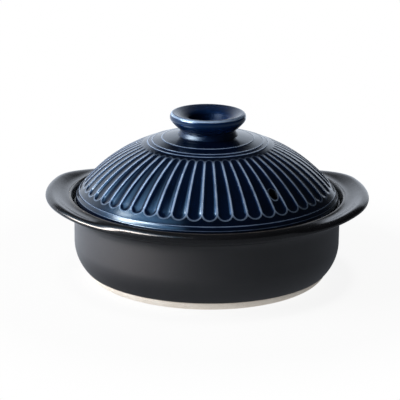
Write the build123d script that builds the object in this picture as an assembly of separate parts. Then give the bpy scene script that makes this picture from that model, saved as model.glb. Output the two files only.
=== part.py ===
from build123d import *
import math
import os

os.makedirs("parts", exist_ok=True)

# A donabe: a round clay pot with two lugs and a fluted, domed lid. Millimetres.
# +Z is up and the origin is the centre of the foot ring's resting face.
# +X runs through the middle of the right lug, and -Y faces the viewer.

# Pot wall, floor and the round between them
wall_radius = 124.0
wall_thickness = 8.5
floor_thickness = 5.0
corner_round = 38.0
corner_rise = 25.4

# Foot: the unglazed base, drawn in towards its resting face and hollowed a little underneath
foot_height = 9.6
foot_draw_in = 11.7
foot_round = 13.0
foot_glaze_step = 0.6
foot_ring_width = 15.0
foot_hollow_depth = 3.5

# Seat: the ledge inside the rim on which the lid rests
seat_height = 71.6
seat_edge_round = 1.8

# Rim: a gallery wall that holds the lid in place, its crest, and the band outside it
gallery_depth = 7.0
gallery_slope = 2.2
rim_flare = 3.8
rim_crest_round = 1.2
rim_band_width = 5.8
rim_band_height = 10.5
rim_lap = 0.6
rim_cove_height = 7.1
rim_cove_round = 14.0

# Lugs: wide dished ears that grow out of the rim band at both sides
lug_reach = 22.7
lug_lift = 3.2
lug_lip_thickness = 5.8
lug_dish_depth = 1.6
lug_root_depth = 18.6
lug_full_angle = 17.5
lug_end_angle = 60.0

# Lid: a thin dome of three arcs, whose flat lower edge stands on the seat
lid_side_gap = 1.6
lid_thickness = 6.0
lid_rise = 65.8
lid_edge_height = 2.5
lid_edge_round = 1.2
crown_arc_radius = 170.0
crown_arc_reach = 58.0
edge_arc_radius = 10.0

# Knob: a thrown, flared cup that is luted to the crown
knob_radius = 35.3
knob_rise = 18.6
knob_lip_drop = 4.6
knob_lip_round = 3.0
knob_foot_radius = 27.6
knob_waist = 2.3
knob_waist_rise = 0.8
knob_well_radius = 17.8
knob_well_depth = 13.0
knob_funnel_drop = 2.8
knob_well_round = 2.4

# Raised rings turned on the lid: three out from the knob's foot, two in from the edge
upper_ring_gaps = (14.9, 23.9, 28.2)
edge_ring_gaps = (3.4, 1.0)
ring_bead_radius = 1.2
ring_proud_height = 0.5

# Flutes: scooped channels that run down the dome between narrow ridges
flute_count = 52
flute_upper_gap = 5.2
flute_lower_gap = 7.6
flute_upper_depth = 0.5
flute_lower_depth = 1.25
flute_ridge_width = 1.9
flute_first_angle = -90.0

# Steam hole, punched straight down through one flute
steam_hole_diameter = 8.0
steam_hole_inset = 22.8
steam_hole_flute = 5

# The flare of the knob above its waist, as shares of its spread and of its rise
knob_flare_out_shares = (0.36, 0.71)
knob_flare_up_shares = (0.29, 0.575)

# Outline of the rim band, as shares out from the crest and down to the band's foot
band_out_shares = (-0.5, 0.0, 0.36, 0.72, 0.94, 1.0, 1.0, 0.95, 0.75, 0.38, -0.1, -0.55, -1.0)
band_down_shares = (0.0, 0.0, 0.03, 0.13, 0.27, 0.42, 0.56, 0.73, 0.88, 0.97, 1.0, 1.0, 1.0)

# Outline of a whole lug, as shares out to its tip; the heights are worked out below
lug_out_shares = (-0.13, 0.0, 0.15, 0.38, 0.63, 0.82, 0.95, 1.0, 0.94, 0.78, 0.46, 0.10, -0.25)

# How far a cutter or a blank runs past the surface that it has to cross
overrun = 6.0


def point(radius, height):
    """A point of an outline, in the upright plane through the axis."""
    return (radius, height)


def turned(edges):
    """The solid that an outline makes when it is turned about the upright axis."""
    return revolve(Plane.XZ * make_face(edges), Axis.Z)


def bend(start, corner, end, radius):
    """Two straight lines from start to end with a round of the given radius at the corner."""
    return FilletPolyline([start, corner, end], radius=radius)


# Sizes that follow from those above

inner_radius = wall_radius - wall_thickness
corner_centre_radius = wall_radius - corner_round
corner_centre_height = foot_height + corner_rise
rim_crest_radius = wall_radius + rim_flare
rim_crest_height = seat_height + gallery_depth
rim_under_height = rim_crest_height - rim_band_height
rim_cove_top_height = rim_under_height + rim_lap
rim_root_height = rim_cove_top_height - rim_cove_height
gallery_top_radius = rim_crest_radius - rim_crest_round
gallery_foot_radius = gallery_top_radius - gallery_slope
lug_lip_height = rim_crest_height + lug_lift
lug_root_height = rim_crest_height - lug_root_depth
lid_radius = gallery_foot_radius - lid_side_gap
lid_crown_height = seat_height + lid_rise
knob_top_height = lid_crown_height + knob_rise
flute_upper_radius = knob_foot_radius + upper_ring_gaps[-1] + flute_upper_gap
flute_lower_radius = lid_radius - flute_lower_gap
steam_hole_radius = lid_radius - steam_hole_inset


# Outside of the pot


def corner_radius_at(height, thickness):
    """Radius of the round between wall and base at a height, a given depth under its surface."""
    drop = corner_centre_height - height
    return corner_centre_radius + math.sqrt((corner_round - thickness) ** 2 - drop ** 2)


def corner_arc(height, thickness):
    """The round from a height up to the foot of the upright wall, bulging outwards."""
    start = point(corner_radius_at(height, thickness), height)
    end = point(wall_radius - thickness, corner_centre_height)
    return RadiusArc(start, end, -(corner_round - thickness))


def rim_core_outside():
    """The line that parts the pot's own wall from what stands out of it: band and lugs."""
    root = point(wall_radius, rim_root_height)
    cove_top = point(rim_crest_radius, rim_cove_top_height)
    crest = point(rim_crest_radius, rim_crest_height)
    cove = RadiusArc(root, cove_top, rim_cove_round)
    return [cove, Line(cove_top, crest)]


def pot_core():
    """The thrown bowl: floor, wall, seat and gallery, up to the crest of the rim."""
    floor_height = foot_height + floor_thickness
    base_edge = point(corner_radius_at(foot_height, 0), foot_height)
    floor_edge = point(corner_radius_at(floor_height, wall_thickness), floor_height)
    crest = point(rim_crest_radius, rim_crest_height)
    gallery_top = point(gallery_top_radius, rim_crest_height - rim_crest_round)
    gallery_foot = point(gallery_foot_radius, seat_height)
    seat_corner = point(inner_radius, seat_height)
    inner_wall_foot = point(inner_radius, corner_centre_height)
    outline = [
        Line(point(0, floor_height), point(0, foot_height)),
        Line(point(0, foot_height), base_edge),
        corner_arc(foot_height, 0),
        Line(point(wall_radius, corner_centre_height), point(wall_radius, rim_root_height)),
        *rim_core_outside(),
        RadiusArc(crest, gallery_top, -rim_crest_round),
        Line(gallery_top, gallery_foot),
        bend(gallery_foot, seat_corner, inner_wall_foot, seat_edge_round),
        corner_arc(floor_height, wall_thickness),
        Line(floor_edge, point(0, floor_height)),
    ]
    return turned(outline)


def inside_of_rim():
    """All the room inside the line where band and lugs part from the wall."""
    top_height = lug_lip_height + overrun
    bottom_height = lug_root_height - overrun
    outline = [
        Line(point(0, top_height), point(0, bottom_height)),
        Line(point(0, bottom_height), point(wall_radius, bottom_height)),
        Line(point(wall_radius, bottom_height), point(wall_radius, rim_root_height)),
        *rim_core_outside(),
        Line(point(rim_crest_radius, rim_crest_height), point(rim_crest_radius, top_height)),
        Line(point(rim_crest_radius, top_height), point(0, top_height)),
    ]
    return turned(outline)


# Rim band and lugs share one family of outlines

lug_lip_bottom = lug_lip_height - lug_lip_thickness
lug_lip_middle = lug_lip_height - lug_lip_thickness / 2
lug_quarter = lug_lip_thickness / 4
lug_dish_height = rim_crest_height - lug_dish_depth
lug_heights = (
    rim_crest_height,
    rim_crest_height,
    lug_dish_height,
    lug_dish_height + lug_dish_depth / 3,
    rim_crest_height + lug_lift / 2,
    lug_lip_height,
    lug_lip_height - lug_quarter / 2,
    lug_lip_middle,
    lug_lip_bottom + lug_quarter / 2,
    lug_lip_bottom - lug_quarter,
    lug_lip_bottom - (lug_lip_bottom - lug_root_height) / 4,
    lug_root_height + (lug_lip_bottom - lug_root_height) / 3,
    lug_root_height - lug_quarter,
)


def lug_fullness(angle):
    """How much of a whole lug stands at an angle from its middle: 1 at the middle, 0 at its ends."""
    way = (abs(angle) - lug_full_angle) / (lug_end_angle - lug_full_angle)
    way = min(max(way, 0), 1)
    return 1 - way * way * (3 - 2 * way)


def rim_outline(fullness):
    """Face across the rim band, or across a lug, from inside the wall out to its edge and back."""
    edge_points = []
    for band_out, band_down, lug_out, lug_height in zip(
        band_out_shares, band_down_shares, lug_out_shares, lug_heights
    ):
        band_radius = rim_crest_radius + rim_band_width * band_out
        band_height = rim_crest_height - rim_band_height * band_down
        lug_radius = rim_crest_radius + lug_reach * lug_out
        radius = band_radius + (lug_radius - band_radius) * fullness
        height = band_height + (lug_height - band_height) * fullness
        edge_points.append(point(radius, height))
    first, last = edge_points[0], edge_points[-1]
    inner_top = point(inner_radius, first[1])
    inner_bottom = point(inner_radius, last[1])
    edges = [
        Line(inner_top, first),
        Spline(edge_points),
        Line(last, inner_bottom),
        Line(inner_bottom, inner_top),
    ]
    return Plane.XZ * make_face(edges)


def lug_sector(middle_angle):
    """The wedge of room that one lug takes up, to clear the rim band from it."""
    reach = rim_crest_radius + lug_reach + overrun
    low = lug_root_height - overrun
    high = lug_lip_height + overrun
    corners = [point(0, low), point(reach, low), point(reach, high), point(0, high)]
    face = Plane.XZ * make_face(Polyline(corners, close=True))
    wedge = revolve(face, Axis.Z, revolution_arc=2 * lug_end_angle)
    return wedge.rotate(Axis.Z, middle_angle - lug_end_angle)


def pot_bowl():
    """The bowl with its rim band, left open where the two lugs are luted on."""
    band = revolve(rim_outline(0), Axis.Z) - inside_of_rim()
    for middle_angle in (0, 180):
        band = band - lug_sector(middle_angle)
    return pot_core() + band


def lug(middle_angle):
    """One dished ear, lofted round the rim through outlines that swell from band to lug."""
    half = [0, lug_full_angle / 2, lug_full_angle]
    steps = 8
    swell = lug_end_angle - lug_full_angle
    half += [lug_full_angle + swell * step / steps for step in range(1, steps + 1)]
    angles = [-angle for angle in reversed(half[1:])] + half
    sections = [rim_outline(lug_fullness(angle)).rotate(Axis.Z, angle) for angle in angles]
    ear = loft(sections) - inside_of_rim()
    return ear.rotate(Axis.Z, middle_angle)


def bare_foot():
    """The bare clay base: a disc under the bowl with a low ring round a shallow hollow."""
    top_radius = corner_radius_at(foot_height, 0) - foot_glaze_step
    foot_radius = top_radius - foot_draw_in
    ring_inner_radius = foot_radius - foot_ring_width
    top_edge = point(top_radius, foot_height)
    hollow_edge = point(ring_inner_radius, foot_hollow_depth)
    ring_inner = point(ring_inner_radius + foot_hollow_depth / 2, 0)
    outline = [
        RadiusArc(point(foot_radius, 0), top_edge, -foot_round),
        Line(top_edge, point(0, foot_height)),
        Line(point(0, foot_height), point(0, foot_hollow_depth)),
        Line(point(0, foot_hollow_depth), hollow_edge),
        Line(hollow_edge, ring_inner),
        Line(ring_inner, point(foot_radius, 0)),
    ]
    return turned(outline)


# Lid


def arc_point(centre, radius, slope):
    """A point on an arc where the surface has fallen away to the given slope, in radians."""
    return point(centre[0] + radius * math.sin(slope), centre[1] + radius * math.cos(slope))


# The shoulder arc is the one that leaves the crown arc and meets the edge arc without a kink
crown_centre = point(0, lid_crown_height - crown_arc_radius)
crown_slope = math.asin(crown_arc_reach / crown_arc_radius)
crown_end = arc_point(crown_centre, crown_arc_radius, crown_slope)
edge_centre = point(lid_radius - edge_arc_radius, seat_height + lid_edge_height)
edge_out = edge_centre[0] - crown_end[0]
edge_up = edge_centre[1] - crown_end[1]
edge_lean = edge_out * math.sin(crown_slope) + edge_up * math.cos(crown_slope) + edge_arc_radius
shoulder_arc_radius = (edge_arc_radius ** 2 - edge_out ** 2 - edge_up ** 2) / (2 * edge_lean)
shoulder_centre = arc_point(crown_centre, crown_arc_radius - shoulder_arc_radius, crown_slope)
shoulder_out = edge_centre[0] - shoulder_centre[0]
edge_slope = math.asin(shoulder_out / (shoulder_arc_radius - edge_arc_radius))


def dome_line(sunk):
    """The dome's three arcs, a given depth below its outer surface, from the crown to the edge."""
    arcs = []
    for centre, arc_radius, start, end in (
        (crown_centre, crown_arc_radius, 0, crown_slope),
        (shoulder_centre, shoulder_arc_radius, crown_slope, edge_slope),
        (edge_centre, edge_arc_radius, edge_slope, math.pi / 2),
    ):
        size = arc_radius - sunk
        places = [arc_point(centre, size, slope) for slope in (start, (start + end) / 2, end)]
        arcs.append(ThreePointArc(*places))
    return arcs


def dome_place(radius):
    """The outer surface at a radius: its height, and its slope in radians."""
    if radius < crown_arc_reach:
        centre, arc_radius = crown_centre, crown_arc_radius
    elif radius < arc_point(edge_centre, edge_arc_radius, edge_slope)[0]:
        centre, arc_radius = shoulder_centre, shoulder_arc_radius
    else:
        centre, arc_radius = edge_centre, edge_arc_radius
    slope = math.asin((radius - centre[0]) / arc_radius)
    return arc_point(centre, arc_radius, slope)[1], slope


def above_dome(radius, lift):
    """A point that stands off the dome's surface, square to it, over the given radius."""
    height, slope = dome_place(radius)
    return point(radius + lift * math.sin(slope), height + lift * math.cos(slope))


def lid_blank():
    """The plain dome before its rings, flutes and steam hole are made."""
    lid_inner_radius = lid_radius - lid_thickness
    outer_foot = point(lid_radius, edge_centre[1])
    inner_foot = point(lid_inner_radius, edge_centre[1])
    bottom_outer = point(lid_radius, seat_height)
    bottom_inner = point(lid_inner_radius, seat_height)
    outline = [
        *dome_line(0),
        bend(outer_foot, bottom_outer, bottom_inner, lid_edge_round),
        Line(bottom_inner, inner_foot),
        *dome_line(lid_thickness),
        Line(point(0, lid_crown_height - lid_thickness), point(0, lid_crown_height)),
    ]
    return turned(outline)


def ring_bead(radius):
    """A fine raised ring, the top of a torus that is sunk into the dome."""
    middle = above_dome(radius, ring_proud_height - ring_bead_radius)
    return Pos(0, 0, middle[1]) * Torus(middle[0], ring_bead_radius)


def flute_half_width(radius):
    """Half of the room between two ridges."""
    return math.pi * radius / flute_count - flute_ridge_width / 2


def flute_cutter():
    """The scoop for one flute: a waisted roller above the dome, with a ball at each end."""
    upper_half = flute_half_width(flute_upper_radius)
    lower_half = flute_half_width(flute_lower_radius)
    upper_slope = dome_place(flute_upper_radius)[1]
    lower_slope = dome_place(flute_lower_radius)[1]
    upper_lift = (upper_half ** 2 - flute_upper_depth ** 2) / (2 * flute_upper_depth)
    lower_lift = (lower_half ** 2 - flute_lower_depth ** 2) / (2 * flute_lower_depth)
    upper = above_dome(flute_upper_radius + upper_half * math.cos(upper_slope), upper_lift)
    lower = above_dome(flute_lower_radius - lower_half * math.cos(lower_slope), lower_lift)
    middle = point((upper[0] + lower[0]) / 2, (upper[1] + lower[1]) / 2)
    out, up = middle[0] - shoulder_centre[0], middle[1] - shoulder_centre[1]
    middle_lift = math.hypot(out, up) - shoulder_arc_radius
    middle_half = flute_half_width(shoulder_centre[0] + shoulder_arc_radius * out / math.hypot(out, up))
    upper_ball = upper_lift + flute_upper_depth
    lower_ball = lower_lift + flute_lower_depth
    waist = math.hypot(middle_lift, middle_half)
    length = math.hypot(lower[0] - upper[0], lower[1] - upper[1])
    outline = [
        RadiusArc(point(0, -upper_ball), point(upper_ball, 0), -upper_ball),
        ThreePointArc(point(upper_ball, 0), point(waist, length / 2), point(lower_ball, length)),
        RadiusArc(point(lower_ball, length), point(0, length + lower_ball), -lower_ball),
        Line(point(0, length + lower_ball), point(0, -upper_ball)),
    ]
    lean = Vector(lower[0] - upper[0], 0, lower[1] - upper[1])
    place = Plane(origin=(upper[0], 0, upper[1]), x_dir=(0, 1, 0), z_dir=lean)
    return place.location * turned(outline)


def flute_angle(number):
    """The direction of one flute's middle, counted from the flute that faces the viewer."""
    return flute_first_angle + 360 * number / flute_count


def steam_hole():
    """The punch for the steam hole, which runs straight down through the dome."""
    height = dome_place(steam_hole_radius)[0]
    tall = 2 * (lid_thickness + steam_hole_diameter)
    angle = math.radians(flute_angle(steam_hole_flute))
    place = Pos(steam_hole_radius * math.cos(angle), steam_hole_radius * math.sin(angle), height)
    return place * Cylinder(steam_hole_diameter / 2, tall)


def lid_dome():
    """The lid's shell, with its raised rings, its flutes and its steam hole."""
    dome = lid_blank()
    for gap in upper_ring_gaps:
        dome = dome + ring_bead(knob_foot_radius + gap)
    for gap in edge_ring_gaps:
        dome = dome + ring_bead(lid_radius - gap)
    cutter = flute_cutter()
    cutters = [cutter.rotate(Axis.Z, flute_angle(number)) for number in range(flute_count)]
    return dome - cutters - steam_hole()


def lid_knob():
    """The knob: a waisted foot that flares to a broad, rounded lip round a hollow well."""
    buried_height = lid_crown_height - overrun
    well_floor_height = knob_top_height - knob_well_depth
    waist = point(knob_foot_radius - knob_waist, lid_crown_height + knob_waist_rise)
    widest = point(knob_radius, knob_top_height - knob_lip_drop)
    spread = widest[0] - waist[0]
    rise = widest[1] - waist[1]
    flare = [
        point(waist[0] + spread * out, waist[1] + rise * up)
        for out, up in zip(knob_flare_out_shares, knob_flare_up_shares)
    ]
    foot = point(knob_foot_radius, buried_height)
    crest = point(knob_radius - knob_lip_round, knob_top_height)
    funnel_foot = point(knob_well_radius, knob_top_height - knob_funnel_drop)
    well_foot = point(knob_well_radius - knob_well_round, well_floor_height)
    well_middle = point(0, well_floor_height)
    outline = [
        Spline(foot, waist, tangents=[(-1, 1), (0, 1)]),
        Spline(waist, *flare, widest, tangents=[(0, 1), (0, 1)]),
        Spline(widest, crest, tangents=[(0, 1), (-1, 0)]),
        FilletPolyline([crest, funnel_foot, well_foot, well_middle], radius=knob_well_round),
        Line(well_middle, point(0, buried_height)),
        Line(point(0, buried_height), foot),
    ]
    return turned(outline) - lid_blank()


def main():
    pieces = {
        "pot_bowl": pot_bowl(),
        "lug_right": lug(0),
        "lug_left": lug(180),
        "bare_foot": bare_foot(),
        "lid_dome": lid_dome(),
        "lid_knob": lid_knob(),
    }
    for name, piece in pieces.items():
        export_step(piece, f"parts/{name}.step")


main()
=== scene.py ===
import math

import bpy
import numpy as np
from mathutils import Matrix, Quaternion, Vector


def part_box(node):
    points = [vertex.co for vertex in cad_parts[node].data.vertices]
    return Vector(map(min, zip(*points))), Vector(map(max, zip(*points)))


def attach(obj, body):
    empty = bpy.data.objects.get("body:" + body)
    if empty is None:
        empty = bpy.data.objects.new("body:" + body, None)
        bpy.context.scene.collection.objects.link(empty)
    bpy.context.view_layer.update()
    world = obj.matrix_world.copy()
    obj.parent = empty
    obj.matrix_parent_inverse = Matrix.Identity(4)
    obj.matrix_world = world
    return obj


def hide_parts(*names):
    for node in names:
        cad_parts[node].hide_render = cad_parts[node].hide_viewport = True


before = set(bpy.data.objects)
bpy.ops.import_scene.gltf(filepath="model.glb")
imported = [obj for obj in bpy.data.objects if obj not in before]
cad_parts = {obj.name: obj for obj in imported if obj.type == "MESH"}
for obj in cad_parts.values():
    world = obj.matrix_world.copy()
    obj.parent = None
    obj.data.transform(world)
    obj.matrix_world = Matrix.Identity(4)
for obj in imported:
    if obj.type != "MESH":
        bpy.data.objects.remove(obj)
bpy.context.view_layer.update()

# A donabe in metres: +Z is up, the foot stands on z = 0 and -Y faces the viewer.

# Sizes that the frame gives
bowl_low, bowl_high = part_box("pot_bowl")
_, lug_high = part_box("lug_right")
_, foot_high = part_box("bare_foot")
dome_low, dome_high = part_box("lid_dome")
_, knob_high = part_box("lid_knob")

rim_crest_radius = bowl_high.x
rim_band_radius = bowl_high.y
rim_crest_height = bowl_high.z
foot_height = bowl_low.z
lug_tip_radius = lug_high.x
lug_lip_height = lug_high.z
lid_radius = dome_high.x
seat_height = dome_low.z
lid_crown_height = dome_high.z
knob_radius = knob_high.x
knob_top_height = knob_high.z
foot_top_radius = foot_high.x

# Sizes of the pot
wall_radius = 0.124
wall_thickness = 0.0085
floor_thickness = 0.005
corner_round = 0.038
corner_rise = 0.0254
glaze_roll = 0.0009
seat_edge_round = 0.0018
gallery_fillet = 0.0012
gallery_slope = 0.0022
rim_crest_round = 0.0012
rim_band_height = 0.0105
lug_lip_thickness = 0.0058
lug_dish_depth = 0.0016
lug_root_depth = 0.0186
lug_full_angle = math.radians(17.5)
lug_end_angle = math.radians(60.0)
wall_top_height = 0.056

# Power that lets a lug's height fall off faster towards its ends than its reach does
lug_droop = 1.5

# Rim band: shares of its width out from the crest, with shares of its height down from it
band_shares = (
    (0.0, 0.0), (0.36, 0.03), (0.72, 0.13), (0.94, 0.27), (1.0, 0.42), (1.0, 0.56), (0.95, 0.73),
    (0.75, 0.88), (0.38, 0.97), (0.0, 1.02), (-0.34, 1.14), (-0.55, 1.38), (-0.64, 1.72),
    (-0.655, 2.15),
)

# Lug: shares of its reach out from the crest, quarters of its lip down from its top, and
# shares of the way up from its root to the lip's underside
lug_out_shares = (
    0.0, 0.13, 0.34, 0.57, 0.76, 0.93, 1.0, 0.97, 0.8, 0.46, 0.12, -0.08, -0.155, -0.167,
)
lug_lip_quarters = (0.0, 0.7, 2.1, 3.5, 5.0)
lug_root_shares = (0.75, 0.36, 0.17, 0.0)

# Inner round of the crest, and roll of glaze at the wall's foot: shares of them aside and down
crest_turn_shares = ((0.08, 0.45), (0.42, 0.1))
glaze_roll_shares = ((0.2, 0.1), (0.55, 0.05))
glaze_end_share = 0.4

# Sizes of the foot
foot_draw_in = 0.0117
foot_round = 0.013
foot_ring_width = 0.015
foot_hollow_depth = 0.0035
foot_edge_round = 0.0012

# Its outer edge in shares of that round out and up, and the edge and side of its hollow
foot_edge_shares = ((0.2, 0.25), (-0.6, 0.0), (-2.0, 0.0))
hollow_edge_end = math.pi * 1.3
hollow_side_share = 0.85

# Sizes of the lid
lid_thickness = 0.006
lid_edge_height = 0.0025
lid_edge_round = 0.0012
crown_arc_radius = 0.17
crown_arc_reach = 0.058
edge_arc_radius = 0.01
upper_ring_radii = (0.0425, 0.0515, 0.0558)
edge_ring_insets = (0.0034, 0.001)
ring_bead_radius = 0.0012
ring_proud_height = 0.0005
ring_glazed_height = 0.00028
flute_count = 52
flute_upper_radius = 0.061
flute_lower_inset = 0.0076
flute_upper_depth = 0.00035
flute_lower_depth = 0.0012
flute_ridge_width = 0.0019
flute_first_angle = math.radians(-90.0)
flute_floor_power = 4.0
flute_edge_softness = 0.1
steam_hole_radius = 0.004
steam_hole_inset = 0.0228
steam_hole_flute = 5
steam_hole_edge = 0.0006

# How thin the glaze runs over the lid, and how strongly it breaks pale over edges at each radius
lid_thinness = 0.12
pale_radii = (0.0, 0.0572, 0.0605, 0.067, 0.1105, 0.1145, 0.1172, 0.1194, 0.1206, 0.1222)
pale_shares = (0.85, 0.85, 0.0, 1.0, 1.0, 0.32, 0.35, 0.5, 0.35, 0.15)

# Sizes of the knob
knob_foot_radius = 0.0276
knob_waist = 0.0023
knob_waist_rise = 0.0008
knob_lip_drop = 0.0046
knob_lip_round = 0.003
knob_well_radius = 0.0178
knob_well_depth = 0.013
knob_funnel_drop = 0.0028
knob_well_round = 0.0024
knob_weld = 0.0011

# Outline of the knob, with the glaze's thinness at each place: shares out and up of its weld,
# its waist and its flank, in and down over its lip, out and down in its funnel, and in and
# down in its well
knob_buried_welds = 3
knob_weld_shares = ((1.0, -0.4, 0.1), (-0.15, 0.6, 0.2))
knob_waist_shares = ((0.26, 0.5, 0.3),)
knob_flank_shares = (
    (-0.02, 0.1, 0.35), (0.1, 0.2, 0.45), (0.36, 0.36, 0.7), (0.71, 0.62, 0.9), (0.93, 0.82, 1.0),
)
knob_lip_shares = ((0.0, 1.0, 1.0), (0.12, 0.5, 1.0), (0.48, 0.14, 1.0), (1.0, 0.0, 1.0))
knob_funnel_shares = (
    (0.86, 0.13, 0.6), (0.62, 0.46, 0.6), (0.38, 0.88, 0.6), (0.2, 1.22, 0.6), (0.09, 1.55, 0.6),
)
knob_well_shares = (
    (0.0, 0.43, 0.4), (0.17, 0.52, 0.4), (0.38, 0.62, 0.4), (0.58, 0.74, 0.4), (0.79, 0.86, 0.4),
    (1.12, 0.945, 0.4), (1.75, 0.995, 0.4), (3.0, 1.0, 0.4),
)

# Where the knob's lip is painted pale, as a glaze break and as a painted reflection of the
# bright backdrop, and where it is dull, which is counted in places along the outline
pale_lip_in_share = 0.42
pale_lip_down_share = 0.17
pale_lip_width_share = 0.2
dull_well_places = 16
dull_foot_end = 22
dull_foot_places = 10
dull_foot_share = 0.6

# Digits of a metre at which points are welded, and how finely the skins are divided
weld_digits = 7
pot_columns = 504
knob_columns = 192
foot_columns = 288
flute_places = (-1.0, -0.93, -0.8, -0.58, -0.3, 0.0, 0.3, 0.58, 0.8, 0.93)
ridge_places = (0.0, 0.25, 0.5, 0.75)

# Rows of the lid's outer face: single radii, places beside every ring, and evenly filled bands
plain_row_radii = (0.0, 0.012, 0.022, 0.028, 0.034, 0.039, 0.0472, 0.1172, 0.12062)
ring_row_places = (-0.00115, -0.0008, -0.00042, 0.0, 0.00042, 0.0008, 0.00115)
even_row_bands = ((0.0583, 0.0665, 12), (0.069, 0.1045, 14), (0.1058, 0.1162, 18))

# Rows of its inner face: the first radius, and how far from the steam hole's middle they lie
inner_first_radius = 0.1135
inner_wide_gap = 0.0085
inner_close_gap = 0.0063

# The patch round the steam hole: its least width, its loops of points, and the hole's edge
hole_patch_width = 0.0012
hole_loop_shares = (0.66, 0.33, 0.0)
hole_edge_turns = (30, 60, 90)

# The glazes read gaps in millimetres; a face without flutes or rings is far off from them
millimetres = 1000.0
far_off = 0.02

# Colours of the blue glaze; a pair is the two ends of its mottling
pooled_blues = (0.0004, 0.0032, 0.013, 1), (0.001, 0.005, 0.021, 1)
open_blues = (0.0004, 0.0012, 0.004, 1), (0.001, 0.0028, 0.011, 1)
thin_blues = (0.0022, 0.014, 0.056, 1), (0.0042, 0.02, 0.078, 1)
halo_blue = (0.012, 0.044, 0.16, 1)
pale_blue = (0.4, 0.54, 0.76, 1)
speck_blue = (0.002, 0.004, 0.012, 1)
# Near black painted as shade on the steam hole's inner wall
painted_hole_shade_blue = (0.0008, 0.0012, 0.002, 1)
sheen_blue = (0.55, 0.78, 1.0, 1.0)

# Colours of the black glaze and of the bare clay
satin_blacks = (0.0125, 0.013, 0.0155, 1), (0.0165, 0.0172, 0.02, 1)
speck_grey = (0.03, 0.03, 0.031, 1)
rim_black = (0.003, 0.003, 0.0035, 1)
# The brown line along the rim's crest is partly a brown glaze break, partly a painted highlight
worn_brown_and_highlight = (0.11, 0.095, 0.08, 1)
clay_creams = (0.86, 0.79, 0.71, 1), (0.95, 0.9, 0.83, 1)
turning_brown = (0.5, 0.42, 0.34, 1)
grog_brown = (0.28, 0.2, 0.14, 1)
scorched_brown = (0.4, 0.3, 0.22, 1)

# A step is where a change begins and where it ends, then the values there.
# Steps of the blue glaze: millimetres from a flute's outline, which are negative inside it,
# or from a ring's middle; metres from the steam hole's edge
flute_line_steps = (-0.12, 0.38, 0.0, 1.0), (1.2, 1.9, 1.0, 0.0)
ring_line_step = (0.2, 0.7, 1.0, 0.0)
flute_halo_step = (0.3, 1.3, 1.0, 0.0)
ring_halo_step = (0.3, 1.8, 0.8, 0.0)
pool_step = (-2.4, -0.3, 1.0, 0.0)
hole_line_step = (0.0002, 0.0007, 0.62, 0.0)
# Painted shade: where the dark inside the steam hole's edge begins and ends
painted_hole_shade_step = (-0.9 * steam_hole_edge, -0.3 * steam_hole_edge, 1.0, 0.0)

# The side of the steam hole, in plan, on which its pale line is strongest
pale_hole_side = (0.6, -0.8, 0.0)
pale_side_step = (-0.003, 0.003, 0.3, 1.0)

# Studio
plain_white = (1.0, 1.0, 1.0, 1.0)
studio_tint = (0.82, 0.89, 1.0, 1.0)

floor_corners = (-6.0, -6.0, 0.0), (6.0, -6.0, 0.0), (6.0, 6.0, 0.0), (-6.0, 6.0, 0.0)
floor_grey = (0.86, 0.86, 0.86, 1)
towards_window = (-0.75, 0.66, 0.0)
# Near the pot the floor glows less white: painted shade round its foot that also lets its cast
# shadow show
painted_shadow_steps = (0.105, 0.15, 0.8, 0.94), (0.13, 0.34, 0.9, 1.0)
bounce_step = (-0.35, 0.25, 0.14, 0.8)
mirrored_floor_steps = (0.0, 0.25, 0.25, 1.8), (0.26, 0.46, 1.0, 0.6)

sweep_strength = 1.25
sweep_turn = -0.35
sweep_side_step = (-0.05, 0.45, 0.0, 1.0)
sweep_right_step = (0.36, 0.6, 1.0, 0.06)
sweep_top_step = (0.34, 0.6, 1.0, 0.0)
sweep_falls_from = 0.2
sweep_fall = 0.6
room_level = 0.03
soft_light_step = (0.7, -0.9, 0.025, 0.34)

# The window and the sky round it: steps to the sides, at the foot and at the top
across_window = (-0.309, 0.951, 0.0)
window_left_step = (-0.2, -0.4, 0.0, 1.0)
window_steps = (0.14, 0.46, 1.0, 0.0), (0.23, 0.36, 0.0, 1.0), (0.57, 0.71, 1.0, 0.0)
window_tint = (1.0, 0.86, 0.75, 1.0)
window_strength = 47.0
sky_steps = (0.2, 0.7, 1.0, 0.0), (0.12, 0.35, 0.0, 1.0), (0.7, 0.92, 1.0, 0.0)
sky_tint = (0.45, 0.72, 1.0, 1.0)
sky_strength = 4.5

lamp_aim = (0, 0, 0.08)


# Skins made of rows and columns of points

def new_object(name, data):
    """An object in the scene that holds a mesh, a lamp or a camera."""
    holder = bpy.data.objects.new(name, data)
    bpy.context.scene.collection.objects.link(holder)
    return holder


def skin(name, rows, extra_faces=(), left_out=None, values=None):
    """A closed mesh over a grid of points, wrapped round its columns; equal points are welded.

    extra_faces: points that follow the grid's, and quads by the points' numbers.
    left_out marks quads of the grid that aren't made.
    """
    count_rows, count_columns = rows.shape[:2]
    flat = rows.reshape(-1, 3)
    if len(extra_faces):
        flat = np.vstack([flat, extra_faces[0]])
    welded, first, index = np.unique(
        np.round(flat, weld_digits), axis=0, return_index=True, return_inverse=True
    )
    index = index.reshape(-1)
    below = np.arange(count_rows - 1)[:, None] * count_columns
    here = np.arange(count_columns)[None, :]
    beside = (here + 1) % count_columns
    quads = np.stack([
        below + here, below + beside, below + count_columns + beside, below + count_columns + here,
    ], -1).reshape(-1, 4)
    if left_out is not None:
        quads = quads[~left_out.reshape(-1)]
    if len(extra_faces):
        quads = np.vstack([quads, extra_faces[1]])
    faces = []
    for corners in index[quads].tolist():
        ring = [a for a, b in zip(corners, corners[-1:] + corners[:-1]) if a != b]
        if len(ring) > 2:
            faces.append(ring)
    mesh = bpy.data.meshes.new(name)
    mesh.from_pydata(welded.tolist(), [], faces)
    mesh.polygons.foreach_set("use_smooth", [True] * len(mesh.polygons))
    for key, numbers in (values or {}).items():
        layer = mesh.attributes.new(key, "FLOAT", "POINT")
        layer.data.foreach_set("value", np.asarray(numbers, np.float32).reshape(-1)[first])
    mesh.validate()
    mesh.update()
    return new_object(name, mesh)


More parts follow.
